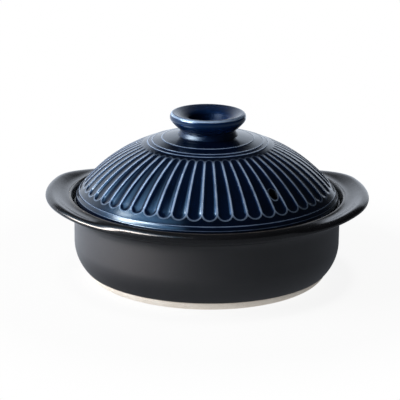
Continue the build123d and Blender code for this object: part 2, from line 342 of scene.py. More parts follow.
def turned_rows(outline, angles):
    """Rows of points that an outline of (radius, height) makes at each angle."""
    outline = np.asarray(outline)
    radius, height = outline[:, :1], outline[:, 1:]
    across, along = radius * np.cos(angles), radius * np.sin(angles)
    return np.stack([across, along, np.broadcast_to(height, across.shape)], -1)


def round_angles(count):
    return np.arange(count) * 2 * math.pi / count


def line(start, end, count):
    """Points from start up to, but not including, end."""
    share = np.linspace(0, 1, count, endpoint=False)[:, None]
    return np.array(start) * (1 - share) + np.array(end) * share


def arc(centre, radius, start, end, count):
    """Points on an arc, both ends included; angles run from straight up to the outside."""
    turn = np.linspace(start, end, count)
    return np.stack([centre[0] + radius * np.sin(turn), centre[1] + radius * np.cos(turn)], 1)


def smooth_line(places, count):
    """Points along a curve that runs smoothly through the given places, the last included."""
    places = np.array(places)
    before = np.vstack([2 * places[:1] - places[1:2], places[:-1]])
    after = np.vstack([places[1:], 2 * places[-1:] - places[-2:-1]])
    slopes = (after - before) / 2
    share = np.linspace(0, 1, count, endpoint=False)[:, None]
    ease = 3 * share ** 2 - 2 * share ** 3
    leave = share * (1 - share) ** 2
    arrive = share ** 2 * (share - 1)
    spans = [
        places[k] * (1 - ease) + places[k + 1] * ease + slopes[k] * leave + slopes[k + 1] * arrive
        for k in range(len(places) - 1)
    ]
    return np.vstack(spans + [places[-1:]])


# Pot

inner_radius = wall_radius - wall_thickness
floor_height = foot_height + floor_thickness
corner_centre = (wall_radius - corner_round, foot_height + corner_rise)
gallery_top_radius = rim_crest_radius - rim_crest_round
gallery_foot_radius = gallery_top_radius - gallery_slope
lug_reach = lug_tip_radius - rim_crest_radius
lug_root_height = rim_crest_height - lug_root_depth


def band_outline():
    """Outside of the rim between the lugs: crest, band, cove and the wall's start."""
    width = rim_band_radius - rim_crest_radius
    return [
        (rim_crest_radius + width * out, rim_crest_height - rim_band_height * down)
        for out, down in band_shares
    ]


def lug_outline():
    """Outside of a lug at its middle: dish, turned-up lip, underside and fillet at the root."""
    quarter = lug_lip_thickness / 4
    under = lug_lip_height - lug_lip_thickness - lug_root_height
    heights = [
        rim_crest_height,
        rim_crest_height - lug_dish_depth,
        rim_crest_height - lug_dish_depth * 2 / 3,
        (rim_crest_height + lug_lip_height) / 2,
    ]
    heights += [lug_lip_height - quarter * down for down in lug_lip_quarters]
    heights += [lug_root_height + under * up for up in lug_root_shares]
    heights.append(wall_top_height)
    return [
        (rim_crest_radius + lug_reach * out, height) for out, height in zip(lug_out_shares, heights)
    ]


def lug_fullness(angles):
    """1 at the middle of a lug, 0 from its ends on."""
    off = np.abs((angles + math.pi / 2) % math.pi - math.pi / 2)
    way = np.clip((off - lug_full_angle) / (lug_end_angle - lug_full_angle), 0, 1)
    return 1 - way * way * (3 - 2 * way)


def glazed_pot():
    """Bowl, rim and both lugs under one unbroken coat of glaze, inside and out."""
    floor_drop = math.acos((corner_centre[1] - floor_height) / (corner_round - wall_thickness))
    base_drop = math.acos(corner_rise / corner_round)
    seat_round_centre = (inner_radius + seat_edge_round, seat_height - seat_edge_round)
    fillet_centre = (gallery_foot_radius - gallery_fillet, seat_height + gallery_fillet)
    inner_corner = arc(
        corner_centre, corner_round - wall_thickness, math.pi - floor_drop, math.pi / 2, 16
    )
    seat_edge = arc(seat_round_centre, seat_edge_round, -math.pi / 2, 0, 6)
    gallery_foot = arc(fillet_centre, gallery_fillet, math.pi, math.pi / 2, 5)
    inside = np.vstack([
        line((0, floor_height), inner_corner[0], 8),
        inner_corner,
        line(inner_corner[-1], seat_edge[0], 9)[1:],
        seat_edge,
        line(seat_edge[-1], gallery_foot[0], 4)[1:],
        gallery_foot,
        line(gallery_foot[-1], (gallery_top_radius, rim_crest_height - rim_crest_round), 4)[1:],
        [
            (gallery_top_radius + rim_crest_round * out, rim_crest_height - rim_crest_round * down)
            for out, down in crest_turn_shares
        ],
    ])
    outer_corner = arc(corner_centre, corner_round, math.pi / 2, math.pi - base_drop, 22)
    base_radius, base_height = outer_corner[-1]
    glaze_end_height = foot_height + glaze_roll * glaze_end_share
    outside = np.vstack([
        line((wall_radius, wall_top_height), outer_corner[0], 8)[1:],
        outer_corner,
        [
            (base_radius - glaze_roll * inward, base_height - glaze_roll * down)
            for inward, down in glaze_roll_shares
        ],
        (foot_top_radius - glaze_roll, glaze_end_height),
        (0, glaze_end_height),
    ])
    angles = round_angles(pot_columns)
    fullness = lug_fullness(angles)[None, :, None] ** np.array([1.0, 1.0, lug_droop])
    band = turned_rows(smooth_line(band_outline(), 3), angles)
    lug = turned_rows(smooth_line(lug_outline(), 3), angles)
    rows = np.concatenate([
        turned_rows(inside, angles),
        band + (lug - band) * fullness,
        turned_rows(outside, angles),
    ])
    return skin("glazed_pot", rows)


def clay_foot():
    """The bare base: drawn in to a ring that the pot stands on, with a shallow hollow inside it."""
    foot_radius = foot_top_radius - foot_draw_in
    chord = math.hypot(foot_draw_in, foot_height)
    lean = math.atan2(foot_draw_in, foot_height)
    half = math.asin(chord / 2 / foot_round)
    sag = foot_round * math.cos(half)
    middle = ((foot_radius + foot_top_radius) / 2, foot_height / 2)
    centre = (middle[0] - sag * math.cos(lean), middle[1] + sag * math.sin(lean))
    start = math.atan2(foot_top_radius - centre[0], foot_height - centre[1])
    end = math.atan2(foot_radius - centre[0], -centre[1])
    flank = arc(centre, foot_round, start, end, 18)
    edge = [
        (foot_radius + foot_edge_round * out, foot_edge_round * up) for out, up in foot_edge_shares
    ]
    ring_inner = foot_radius - foot_ring_width
    hollow_start = ring_inner + foot_hollow_depth
    hollow_side = (ring_inner - foot_edge_round, foot_hollow_depth)
    outline = np.vstack([
        (0, foot_height),
        flank[:-1],
        edge[:-1],
        line(edge[-1], (hollow_start, 0), 5),
        arc((hollow_start, foot_edge_round), foot_edge_round, math.pi, hollow_edge_end, 4),
        line((ring_inner, foot_hollow_depth * hollow_side_share), hollow_side, 2),
        line(hollow_side, (0, foot_hollow_depth), 8),
        (0, foot_hollow_depth),
    ])
    return skin("clay_foot", turned_rows(outline, round_angles(foot_columns)))


# Lid

def arc_point(centre, radius, slope):
    return (centre[0] + radius * math.sin(slope), centre[1] + radius * math.cos(slope))


# The shoulder arc is the one that leaves the crown arc and meets the edge arc without a kink
crown_centre = (0.0, lid_crown_height - crown_arc_radius)
crown_slope = math.asin(crown_arc_reach / crown_arc_radius)
crown_end = arc_point(crown_centre, crown_arc_radius, crown_slope)
edge_centre = (lid_radius - edge_arc_radius, seat_height + lid_edge_height)
edge_out = edge_centre[0] - crown_end[0]
edge_up = edge_centre[1] - crown_end[1]
edge_lean = edge_out * math.sin(crown_slope) + edge_up * math.cos(crown_slope) + edge_arc_radius
shoulder_radius = (edge_arc_radius ** 2 - edge_out ** 2 - edge_up ** 2) / (2 * edge_lean)
shoulder_centre = arc_point(crown_centre, crown_arc_radius - shoulder_radius, crown_slope)
edge_slope = math.asin((edge_centre[0] - shoulder_centre[0]) / (shoulder_radius - edge_arc_radius))
shoulder_end_radius = arc_point(edge_centre, edge_arc_radius, edge_slope)[0]
flute_lower_radius = lid_radius - flute_lower_inset
ring_radii = upper_ring_radii + tuple(lid_radius - inset for inset in edge_ring_insets)
flute_pitch = 2 * math.pi / flute_count
steam_hole_angle = flute_first_angle + flute_pitch * steam_hole_flute
steam_hole_reach = lid_radius - steam_hole_inset
steam_hole_place = steam_hole_reach * np.array(
    [math.cos(steam_hole_angle), math.sin(steam_hole_angle)]
)


def dome_surface(radius, sunk):
    """Height and slope of the plain dome over each radius, at a depth under its outer face."""
    radius = np.asarray(radius, float)
    height, slope = np.empty_like(radius), np.empty_like(radius)
    near = arc_point(crown_centre, crown_arc_radius - sunk, crown_slope)[0]
    far = arc_point(edge_centre, edge_arc_radius - sunk, edge_slope)[0]
    for centre, size, low, high in (
        (crown_centre, crown_arc_radius, -1.0, near),
        (shoulder_centre, shoulder_radius, near, far),
        (edge_centre, edge_arc_radius, far, lid_radius),
    ):
        part = (radius > low) & (radius <= high + 1e-9)
        across = np.clip((radius[part] - centre[0]) / (size - sunk), -1, 1)
        slope[part] = np.arcsin(across)
        height[part] = centre[1] + (size - sunk) * np.cos(slope[part])
    return height, slope


def run_to(radius):
    """Length along the dome from its middle out to a radius."""
    on_crown = np.clip(radius, 0, crown_end[0])
    on_shoulder = np.clip(radius, crown_end[0], shoulder_end_radius)
    on_edge = np.clip(radius, shoulder_end_radius, lid_radius)
    shoulder_slope = np.arcsin((on_shoulder - shoulder_centre[0]) / shoulder_radius)
    around_edge = np.arcsin(np.clip((on_edge - edge_centre[0]) / edge_arc_radius, -1, 1))
    return (
        crown_arc_radius * np.arcsin(on_crown / crown_arc_radius)
        + shoulder_radius * (shoulder_slope - crown_slope)
        + edge_arc_radius * (around_edge - edge_slope)
    )


def radius_at(run):
    """The radius that a length along the dome reaches."""
    radii = np.linspace(0, lid_radius, 4000)
    return np.interp(run, run_to(radii), radii)


def flute_half_width(radius):
    return math.pi * np.asarray(radius) / flute_count - flute_ridge_width / 2


def flute_shape(radius, angle):
    """Depth of the flutes, and the gap in metres to the nearest outline, negative inside it."""
    off = (angle - flute_first_angle + flute_pitch / 2) % flute_pitch - flute_pitch / 2
    aside = radius * off
    run = run_to(radius)
    upper_half = flute_half_width(flute_upper_radius)
    lower_half = flute_half_width(flute_lower_radius)
    upper_run = run_to(flute_upper_radius) + upper_half
    lower_run = run_to(flute_lower_radius) - lower_half
    past = np.maximum(np.maximum(upper_run - run, run - lower_run), 0)
    half = flute_half_width(np.clip(radius, flute_upper_radius, flute_lower_radius))
    half = np.where(run < upper_run, upper_half, np.where(run > lower_run, lower_half, half))
    reach = np.hypot(aside, past)
    way = np.clip((run - upper_run) / (lower_run - upper_run), 0, 1)
    deepest = flute_upper_depth + (flute_lower_depth - flute_upper_depth) * way
    bowl = 1 - (reach / half) ** flute_floor_power
    bowl = (bowl + np.sqrt(bowl ** 2 + flute_edge_softness ** 2)) / 2
    return deepest * bowl, reach - half


def ring_rise(radius):
    """How far the turned rings stand proud, and the gap to the middle of the nearest one."""
    run = run_to(radius)
    gap = np.min([np.abs(run - run_to(ring)) for ring in ring_radii], axis=0)
    reach = math.sqrt(ring_bead_radius ** 2 - (ring_bead_radius - ring_proud_height) ** 2)
    rise = ring_glazed_height * (1 - np.minimum(gap / reach, 1) ** 2) ** 2
    return rise, gap


def lid_outside(across, along):
    """Points on the finished outer face of the dome over places in plan."""
    radius, angle = np.hypot(across, along), np.arctan2(along, across)
    height, slope = dome_surface(radius, 0)
    depth, _ = flute_shape(radius, angle)
    rise, _ = ring_rise(radius)
    lift = rise - depth
    out = lift * np.sin(slope) / np.maximum(radius, 1e-6)
    return np.stack([across * (1 + out), along * (1 + out), height + lift * np.cos(slope)], -1)


def lid_inside(across, along):
    """Points on the dome's plain inner face over places in plan."""
    height, _ = dome_surface(np.hypot(across, along), lid_thickness)
    return np.stack([across, along, height], -1)


def outer_row_radii():
    """Radii of the rows on the outer face, closer together at the rings and at the flutes' ends."""
    rows = list(plain_row_radii)
    for ring in ring_radii:
        rows += list(radius_at(run_to(ring) + np.array(ring_row_places)))
    for low, high, count in even_row_bands:
        rows += list(np.linspace(low, high, count))
    return np.unique(np.round(rows, 6))


def column_angles(radius):
    """Angles of the columns at a radius, so that the flutes' edges always lie on a column."""
    radius = np.clip(radius, flute_upper_radius, flute_lower_radius)
    filled = flute_half_width(radius) * 2 / (radius * flute_pitch)
    flute = np.array(flute_places) * filled / 2
    ridge = filled / 2 + np.array(ridge_places) * (1 - filled)
    step = np.concatenate([flute, ridge]) * flute_pitch
    starts = flute_first_angle + np.arange(flute_count) * flute_pitch
    return (starts[:, None] + step[None, :]).reshape(-1)


def face_row(surface, radius, angles):
    return surface(radius * np.cos(angles), radius * np.sin(angles))


def lid_shell():
    """The dome with its rings, flutes, edge and steam hole, closed by its inner face."""
    outer_radii = outer_row_radii()
    outer = [face_row(lid_outside, radius, column_angles(radius)) for radius in outer_radii]
    angles = column_angles(flute_lower_radius)
    last_slope = float(dome_surface(outer_radii[-1:], 0)[1][0])
    lip_radius = lid_radius - lid_thickness
    lower_edge = np.vstack([
        arc(edge_centre, edge_arc_radius, last_slope, math.pi / 2, 5)[1:],
        arc(
            (lid_radius - lid_edge_round, seat_height + lid_edge_round),
            lid_edge_round, math.pi / 2, math.pi, 5,
        ),
        (lip_radius + lid_edge_round / 2, seat_height),
        (lip_radius, seat_height + lid_edge_round / 2),
        (lip_radius, edge_centre[1]),
    ])
    inner_edge = arc(edge_centre, edge_arc_radius - lid_thickness, math.pi / 2, edge_slope, 6)[1:]
    edge = turned_rows(np.vstack([lower_edge, inner_edge]), angles)
    inner_radii = np.concatenate([
        np.linspace(inner_first_radius, steam_hole_reach + inner_wide_gap, 3),
        np.linspace(steam_hole_reach + inner_close_gap, steam_hole_reach - inner_close_gap, 5),
        np.linspace(steam_hole_reach - inner_wide_gap, 0, 9),
    ])
    inner = [face_row(lid_inside, radius, angles) for radius in inner_radii]
    rows = np.concatenate([np.stack(outer), edge, np.stack(inner)])
    return punch_steam_hole(rows, len(outer), len(rows) - len(inner))


def patch_border(top, bottom, first, last):
    """Rows and columns of the grid's points round a patch, in their order."""
    border = [(top, column) for column in range(first, last)]
    border += [(row, last) for row in range(top, bottom)]
    border += [(bottom, column) for column in range(last, first, -1)]
    border += [(row, first) for row in range(bottom, top, -1)]
    return np.array(border)


def hole_loops(places, surface, drop):
    """Directions from the hole to the places round a patch, and the loops of points inside it."""
    spokes = places - steam_hole_place
    direction = spokes / np.hypot(spokes[:, 0], spokes[:, 1])[:, None]
    wide = steam_hole_radius + steam_hole_edge
    loops = []
    for share in hole_loop_shares:
        plan = steam_hole_place + direction * wide + (spokes - direction * wide) * share
        loops.append(surface(plan[:, 0], plan[:, 1]))
    lip_height = loops[-1][:, 2]
    for turn in np.radians(hole_edge_turns):
        plan = steam_hole_place + direction * (wide - steam_hole_edge * math.sin(turn))
        loops.append(np.column_stack([plan, lip_height - drop * (1 - math.cos(turn))]))
    return direction, loops


def punch_steam_hole(rows, outer_end, inner_start):
    """Clears a patch of both faces round the hole and fills it with loops down to its edge."""
    count_rows, count_columns = rows.shape[:2]
    away = np.hypot(rows[..., 0] - steam_hole_place[0], rows[..., 1] - steam_hole_place[1])
    near = away < steam_hole_radius + steam_hole_edge + hole_patch_width
    columns = np.nonzero(near.any(0))[0]
    first, last = columns.min() - 1, columns.max() + 1
    left_out = np.zeros((count_rows - 1, count_columns), bool)
    points, faces, rings = [], [], []
    start = count_rows * count_columns
    for surface, drop, low, high in (
        (lid_outside, steam_hole_edge, 0, outer_end),
        (lid_inside, -steam_hole_edge, inner_start, count_rows),
    ):
        hit = np.nonzero(near[low:high].any(1))[0] + low
        top, bottom = hit.min() - 1, hit.max() + 1
        left_out[top:bottom, first:last] = True
        border = patch_border(top, bottom, first, last)
        direction, loops = hole_loops(rows[border[:, 0], border[:, 1], :2], surface, drop)
        points += loops
        ids = [border[:, 0] * count_columns + border[:, 1]]
        for _ in loops:
            ids.append(np.arange(start, start + len(border)))
            start += len(border)
        for wide, close in zip(ids, ids[1:]):
            faces.append(np.stack([wide, np.roll(wide, -1), np.roll(close, -1), close], 1))
        rings.append((ids[-1], direction))
    faces.append(bridge(*rings))
    points = np.vstack(points)
    everything = np.vstack([rows.reshape(-1, 3), points])
    row_of = np.arange(len(everything)) // count_columns
    inside = (row_of >= outer_end) & (row_of < count_rows)
    return skin(
        "lid_shell", rows, (points, np.vstack(faces)), left_out, lid_values(everything, inside)
    )


def lid_values(points, inside):
    """What the glaze reads at each point of the lid; its inside has neither flutes nor rings."""
    radius, angle = np.hypot(points[:, 0], points[:, 1]), np.arctan2(points[:, 1], points[:, 0])
    return {
        "flute_gap": np.where(inside, far_off, flute_shape(radius, angle)[1]) * millimetres,
        "ring_gap": np.where(inside, far_off, ring_rise(radius)[1]) * millimetres,
        "thinness": np.full(len(radius), lid_thinness),
        "paleness": np.interp(radius, pale_radii, pale_shares),
        "dullness": np.zeros(len(radius)),
    }


def bridge(upper, lower):
    """Quads between two rings of the steam hole, matched by direction from its middle."""
    upper_ids, upper_ways = upper
    lower_ids, lower_ways = lower
    upper_turn = np.unwrap(np.arctan2(upper_ways[:, 1], upper_ways[:, 0]))
    lower_turn = np.arctan2(lower_ways[:, 1], lower_ways[:, 0])
    away = np.abs((upper_turn[:, None] - lower_turn[None, :] + math.pi) % (2 * math.pi) - math.pi)
    match = lower_ids[away.argmin(1)]
    return np.stack([upper_ids, np.roll(upper_ids, -1), np.roll(match, -1), match], 1)


def knob_outline():
    """Radius, height and thinness of the glaze along the knob, from its luted foot to its well."""
    luted_height = float(dome_surface([knob_foot_radius + knob_weld], 0)[0][0])
    waist_radius = knob_foot_radius - knob_waist
    waist_height = lid_crown_height + knob_waist_rise
    spread = knob_radius - waist_radius
    rise = knob_top_height - knob_lip_drop - waist_height
    funnel_width = knob_radius - knob_lip_round - knob_well_radius
    places = []
    for radius, height, wide, high, shares in (
        (knob_foot_radius, luted_height, knob_weld, knob_weld, knob_weld_shares),
        (waist_radius, waist_height, knob_waist, knob_waist_rise, knob_waist_shares),
        (waist_radius, waist_height, spread, rise, knob_flank_shares),
        (knob_radius, knob_top_height, -knob_lip_round, -knob_lip_drop, knob_lip_shares),
        (knob_well_radius, knob_top_height, funnel_width, -knob_funnel_drop, knob_funnel_shares),
        (knob_well_radius, knob_top_height, -knob_well_round, -knob_well_depth, knob_well_shares),
    ):
        places += [(radius + wide * out, height + high * up, thin) for out, up, thin in shares]
    _, well_floor, thin = places[-1]
    places += [(knob_well_radius / 4, well_floor, thin), (0.0, well_floor, thin)]
    buried = luted_height - knob_weld * knob_buried_welds
    return np.vstack([(0, buried, 0), (knob_foot_radius, buried, 0), smooth_line(places, 4)])


def knob_cup():
    """The knob: a waisted foot that flares to a rounded lip, with a funnel and a well inside."""
    outline = knob_outline()
    radius, height, thinness = outline.T
    # The pale line on the lip's crest: partly a glaze break, partly a painted reflection
    pale_radius = knob_radius - knob_lip_round * pale_lip_in_share
    pale_height = knob_top_height - knob_lip_drop * pale_lip_down_share
    from_pale = np.hypot(radius - pale_radius, height - pale_height)
    from_pale = np.maximum(from_pale - knob_lip_round * pale_lip_width_share, 0)
    place = np.arange(len(outline))
    in_well = np.clip((place - height.argmax()) / dull_well_places, 0, 1)
    at_foot = np.clip((dull_foot_end - place) / dull_foot_places, 0, dull_foot_share)
    along_outline = {
        "flute_gap": np.full(len(outline), far_off * millimetres),
        # On the knob this carries the gap to the lip's pale line, partly a painted reflection
        "ring_gap": from_pale * millimetres,
        "thinness": thinness,
        "paleness": np.ones(len(outline)),
        "dullness": np.maximum(in_well, at_foot),
    }
    rows = turned_rows(outline[:, :2], round_angles(knob_columns))[::-1]
    return skin("knob_cup", rows, values={
        key: np.repeat(numbers[::-1, None], knob_columns, axis=1)
        for key, numbers in along_outline.items()
    })


# Shader nodes

def put(tree, socket, value):
    """Feeds a socket from another socket, or sets its own value."""
    if isinstance(value, bpy.types.NodeSocket):
        tree.links.new(value, socket)
    else:
        socket.default_value = value


def add_node(tree, kind, values=(), **settings):
    """Makes and sets a node, feeds its inputs by their names or numbers, and gives its outputs."""
    node = tree.nodes.new("ShaderNode" + kind)
    for key, setting in settings.items():
        setattr(node, key, setting)
    for key, value in dict(values).items():
        put(tree, node.inputs[key], value)
    return node.outputs


def calc(tree, operation, *values):
    return add_node(tree, "Math", enumerate(values), operation=operation)[0]


def product(tree, first, *others):
    for other in others:
        first = calc(tree, "MULTIPLY", first, other)
    return first


def vector_calc(tree, operation, *values):
    return add_node(tree, "VectorMath", enumerate(values), operation=operation)


def axes(tree, vector):
    """The x, y and z of a vector."""
    return add_node(tree, "SeparateXYZ", {0: vector})


def ease(tree, value, low, high, to_low=0.0, to_high=1.0):
    """A smooth step from low to high."""
    steps = enumerate((value, low, high, to_low, to_high))
    return add_node(tree, "MapRange", steps, interpolation_type="SMOOTHSTEP")["Result"]


def layered(tree, tone, *coats):
    """A tone with coats laid over it in their order, each by its share."""
    for share, coat in coats:
        tone = add_node(tree, "Mix", {0: share, 6: tone, 7: coat}, data_type="RGBA")[2]
    return tone


def noise(tree, where, scale, detail, roughness=0.5):
    given = {"Vector": where, "Scale": scale, "Detail": detail, "Roughness": roughness}
    return add_node(tree, "TexNoise", given)["Fac"]


groups = {}


def new_group(name, output, **inputs):
    """A shader node group that takes a place and inputs of named kinds and gives one value."""
    tree = groups[name] = bpy.data.node_groups.new(name, "ShaderNodeTree")
    new_socket = tree.interface.new_socket
    for key, kind in {"where": "Vector", **inputs}.items():
        new_socket(name=key.capitalize(), in_out="INPUT", socket_type="NodeSocket" + kind)
    new_socket(name=output, in_out="OUTPUT", socket_type="NodeSocketFloat")
    result = tree.nodes.new("NodeGroupOutput").inputs[output]
    return tree, tree.nodes.new("NodeGroupInput").outputs, result


def use_group(tree, name, **values):
    """Feeds a group's inputs and gives back its output."""
    values = {key.capitalize(): value for key, value in values.items()}
    return add_node(tree, "Group", values, node_tree=groups[name])[0]


def plan_distance_group():
    """How far a place is from the upright line through a centre."""
    tree, given, distance = new_group("plan_distance", "Distance", centre="Vector")
    plan = vector_calc(tree, "MULTIPLY", given["Where"], (1.0, 1.0, 0.0))["Vector"]
    put(tree, distance, vector_calc(tree, "DISTANCE", plan, given["Centre"])["Value"])


def orange_peel_group():
    """The slow ripple of a melted glaze, with a finer dimpling over it."""
    tree, given, height = new_group("orange_peel", "Height", ripple="Float", dimple="Float")
    slow = noise(tree, given["Where"], given["Ripple"], 2.0)
    fine = noise(tree, given["Where"], given["Dimple"], 1.0)
    put(tree, height, calc(tree, "MULTIPLY_ADD", fine, 0.18, slow))


def speck_group():
    """Sparse small specks: 1 in a speck, 0 elsewhere."""
    tree, given, speck = new_group("specks", "Speck", scale="Float", share="Float")
    cells = add_node(tree, "TexVoronoi", {"Vector": given["Where"], "Scale": given["Scale"]})
    pick = add_node(tree, "SeparateColor", {0: cells["Color"]})
    chosen = calc(tree, "LESS_THAN", pick[0], given["Share"])
    size = calc(tree, "MULTIPLY_ADD", pick[1], 0.25, 0.1)
    inside = calc(tree, "LESS_THAN", cells["Distance"], size)
    put(tree, speck, product(tree, chosen, inside))


def wheel_line_group():
    """Faint level lines that the potter's wheel leaves, wandering a little round the pot."""
    tree, given, wheel_line = new_group("wheel_lines", "Line", spacing="Float")
    out = use_group(tree, "plan_distance", where=given["Where"])
    along_skin = calc(tree, "ADD", axes(tree, given["Where"])[2], out)
    wander = noise(tree, given["Where"], 12.0, 2.0)
    level = calc(tree, "MULTIPLY_ADD", wander, 0.006, along_skin)
    turns = calc(tree, "DIVIDE", level, given["Spacing"])
    place = add_node(tree, "CombineXYZ", {2: turns})[0]
    put(tree, wheel_line, noise(tree, place, 1.0, 3.0, 0.6))


def empty_tree(owner):
    """The cleared node tree of a material or a world."""
    owner.use_nodes = True
    owner.node_tree.nodes.clear()
    return owner.node_tree


def new_material(name):
    """A material, its cleared node tree and the object's own coordinates."""
    material = bpy.data.materials.new(name)
    tree = empty_tree(material)
    return material, tree, add_node(tree, "TexCoord")["Object"]


def clad(tree, values):
    """Gives a material a Principled shader with the named inputs."""
    shader = add_node(tree, "BsdfPrincipled", values)[0]
    add_node(tree, "OutputMaterial", {0: shader})


def bumps(tree, height, distance, strength):
    given = {"Strength": strength, "Distance": distance, "Height": height}
    return add_node(tree, "Bump", given)["Normal"]


def surface_value(tree, name):
    return add_node(tree, "Attribute", attribute_name=name)["Fac"]


def steam_hole_masks(tree, where):
    """Where the glaze breaks pale round the steam hole, and where shade is painted dark inside it.
    """
    from_hole = use_group(tree, "plan_distance", where=where, centre=(*steam_hole_place, 0.0))
    gap = calc(tree, "SUBTRACT", from_hole, steam_hole_radius + steam_hole_edge)
    aside = vector_calc(tree, "DOT_PRODUCT", where, pale_hole_side)["Value"]
    aside = calc(tree, "SUBTRACT", aside, float(np.dot(pale_hole_side[:2], steam_hole_place)))
    pale = ease(tree, calc(tree, "ABSOLUTE", gap), *hole_line_step)
    return product(tree, pale, ease(tree, aside, *pale_side_step)), ease(tree, gap, *painted_hole_shade_step)


def blue_glaze():
    """Deep blue gloss: almost black where it pools, blue where thin, pale over edges."""
    material, tree, where = new_material("blue_glaze_finish")
    wander = calc(tree, "SUBTRACT", noise(tree, where, 160.0, 3.0), 0.5)
    flute_gap = calc(tree, "MULTIPLY_ADD", wander, 0.3, surface_value(tree, "flute_gap"))
    ring_gap = calc(tree, "MULTIPLY_ADD", wander, 0.2, surface_value(tree, "ring_gap"))
    paleness = surface_value(tree, "paleness")
    hole_line, painted_hole_shade = steam_hole_masks(tree, where)

    flute_line = product(tree, *(ease(tree, flute_gap, *step) for step in flute_line_steps))
    # Pale lines at rings; on the knob this is the lip's line, partly a painted reflection
    line_mask = calc(tree, "MAXIMUM", flute_line, ease(tree, ring_gap, *ring_line_step))
    line_mask = calc(tree, "MAXIMUM", product(tree, line_mask, paleness), hole_line)
    beside = ease(tree, calc(tree, "ABSOLUTE", flute_gap), *flute_halo_step)
    halo = calc(tree, "MAXIMUM", beside, ease(tree, ring_gap, *ring_halo_step))
    halo = product(tree, halo, paleness, 0.45)

    mottle = ease(tree, noise(tree, where, 35.0, 4.0, 0.6), 0.3, 0.7)
    pooled, spread, thin = (
        layered(tree, first, (mottle, second))
        for first, second in (pooled_blues, open_blues, thin_blues)
    )
    strength = ease(tree, noise(tree, where, 70.0, 3.0), 0.25, 0.6, 0.6, 0.95)
    specks = use_group(tree, "specks", where=where, scale=420.0, share=0.1)
    tone = layered(
        tree, spread,
        (surface_value(tree, "thinness"), thin),
        (ease(tree, flute_gap, *pool_step), pooled),
        (halo, halo_blue),
        (product(tree, line_mask, strength), pale_blue),
        (product(tree, specks, 0.4), speck_blue),
        # Painted shade inside the steam hole
        (painted_hole_shade, painted_hole_shade_blue),
    )

    gloss = calc(tree, "MULTIPLY_ADD", line_mask, 0.1, ease(tree, mottle, 0.0, 1.0, 0.11, 0.15))
    dullness = calc(tree, "MAXIMUM", surface_value(tree, "dullness"), painted_hole_shade)
    peel = use_group(tree, "orange_peel", where=where, ripple=55.0, dimple=420.0)
    clad(tree, {
        "Base Color": tone,
        "Roughness": calc(tree, "MULTIPLY_ADD", dullness, 0.35, gloss),
        "Specular IOR Level": ease(tree, dullness, 0.3, 1.0, 0.6, 0.1),
        "Specular Tint": sheen_blue,
        "Normal": bumps(tree, peel, distance=0.00025, strength=0.6),
    })
    return material


def black_glaze():
    """Satin black with a soft sheen, glossier where the rim was wiped thick with glaze."""
    material, tree, where = new_material("black_glaze_finish")
    dark, light = satin_blacks
    mottle = ease(tree, noise(tree, where, 26.0, 5.0, 0.6), 0.3, 0.7)
    specks = use_group(tree, "specks", where=where, scale=700.0, share=0.22)
    rim = ease(
        tree, axes(tree, where)[2],
        rim_crest_height - rim_band_height * 1.2, rim_crest_height - rim_band_height * 0.5,
    )
    reach = use_group(tree, "plan_distance", where=where)
    # Line along the crest: partly a brown glaze break, partly a painted highlight
    from_crest = calc(tree, "ABSOLUTE", calc(tree, "SUBTRACT", reach, rim_crest_radius))
    wear_and_highlight_strength = ease(tree, noise(tree, where, 45.0, 3.0), 0.3, 0.7, 0.35, 0.8)
    crest_wear_and_highlight = product(tree, ease(tree, from_crest, 0.0005, 0.0016, 1.0, 0.0), wear_and_highlight_strength)
    tone = layered(
        tree, dark,
        (mottle, light),
        (product(tree, specks, 0.4), speck_grey),
        (product(tree, rim, 0.5), rim_black),
        (crest_wear_and_highlight, worn_brown_and_highlight),
    )
    satin = calc(tree, "MULTIPLY_ADD", noise(tree, where, 900.0, 2.0), 0.08, 0.46)
    lines = use_group(tree, "wheel_lines", where=where, spacing=0.006)
    peel = use_group(tree, "orange_peel", where=where, ripple=70.0, dimple=900.0)
    relief = calc(tree, "MULTIPLY_ADD", lines, 0.5, peel)
    clad(tree, {
        "Base Color": tone,
        "Roughness": calc(tree, "MULTIPLY_ADD", rim, -0.28, satin),
        "Specular IOR Level": ease(tree, rim, 0.0, 1.0, 0.8, 0.45),
        "Normal": bumps(tree, relief, distance=0.00022, strength=0.6),
    })
    return material


def bare_clay():
    """Unglazed cream stoneware: fine grog, faint turning lines and a warmer edge at the glaze."""
    material, tree, where = new_material("bare_clay_finish")
    dark, light = clay_creams
    mottle = noise(tree, where, 40.0, 5.0, 0.65)
    lines = use_group(tree, "wheel_lines", where=where, spacing=0.0012)
    specks = use_group(tree, "specks", where=where, scale=900.0, share=0.25)
    scorch = ease(tree, axes(tree, where)[2], foot_height * 0.8, foot_height, 0.0, 0.3)
    tone = layered(
        tree, dark,
        (ease(tree, mottle, 0.3, 0.7), light),
        (ease(tree, lines, 0.45, 0.75, 0.0, 0.18), turning_brown),
        (product(tree, specks, 0.35), grog_brown),
        (scorch, scorched_brown),
    )
    relief = calc(tree, "MULTIPLY_ADD", lines, 0.8, noise(tree, where, 1400.0, 3.0, 0.7))
    clad(tree, {
        "Base Color": tone,
        "Roughness": ease(tree, mottle, 0.2, 0.8, 0.82, 0.95),
        "Specular IOR Level": 0.25,
        "Normal": bumps(tree, relief, distance=0.0002, strength=0.7),
    })
    return material


# Studio

def shining(tree, kind, colour, strength):
    """An emission or a background of a colour and a strength."""
    return add_node(tree, kind, {"Color": colour, "Strength": strength})[0]


def join_shaders(tree, kind, *sources):
    """Adds two shaders, or mixes them by the share that comes first."""
    return add_node(tree, kind, enumerate(sources))[0]


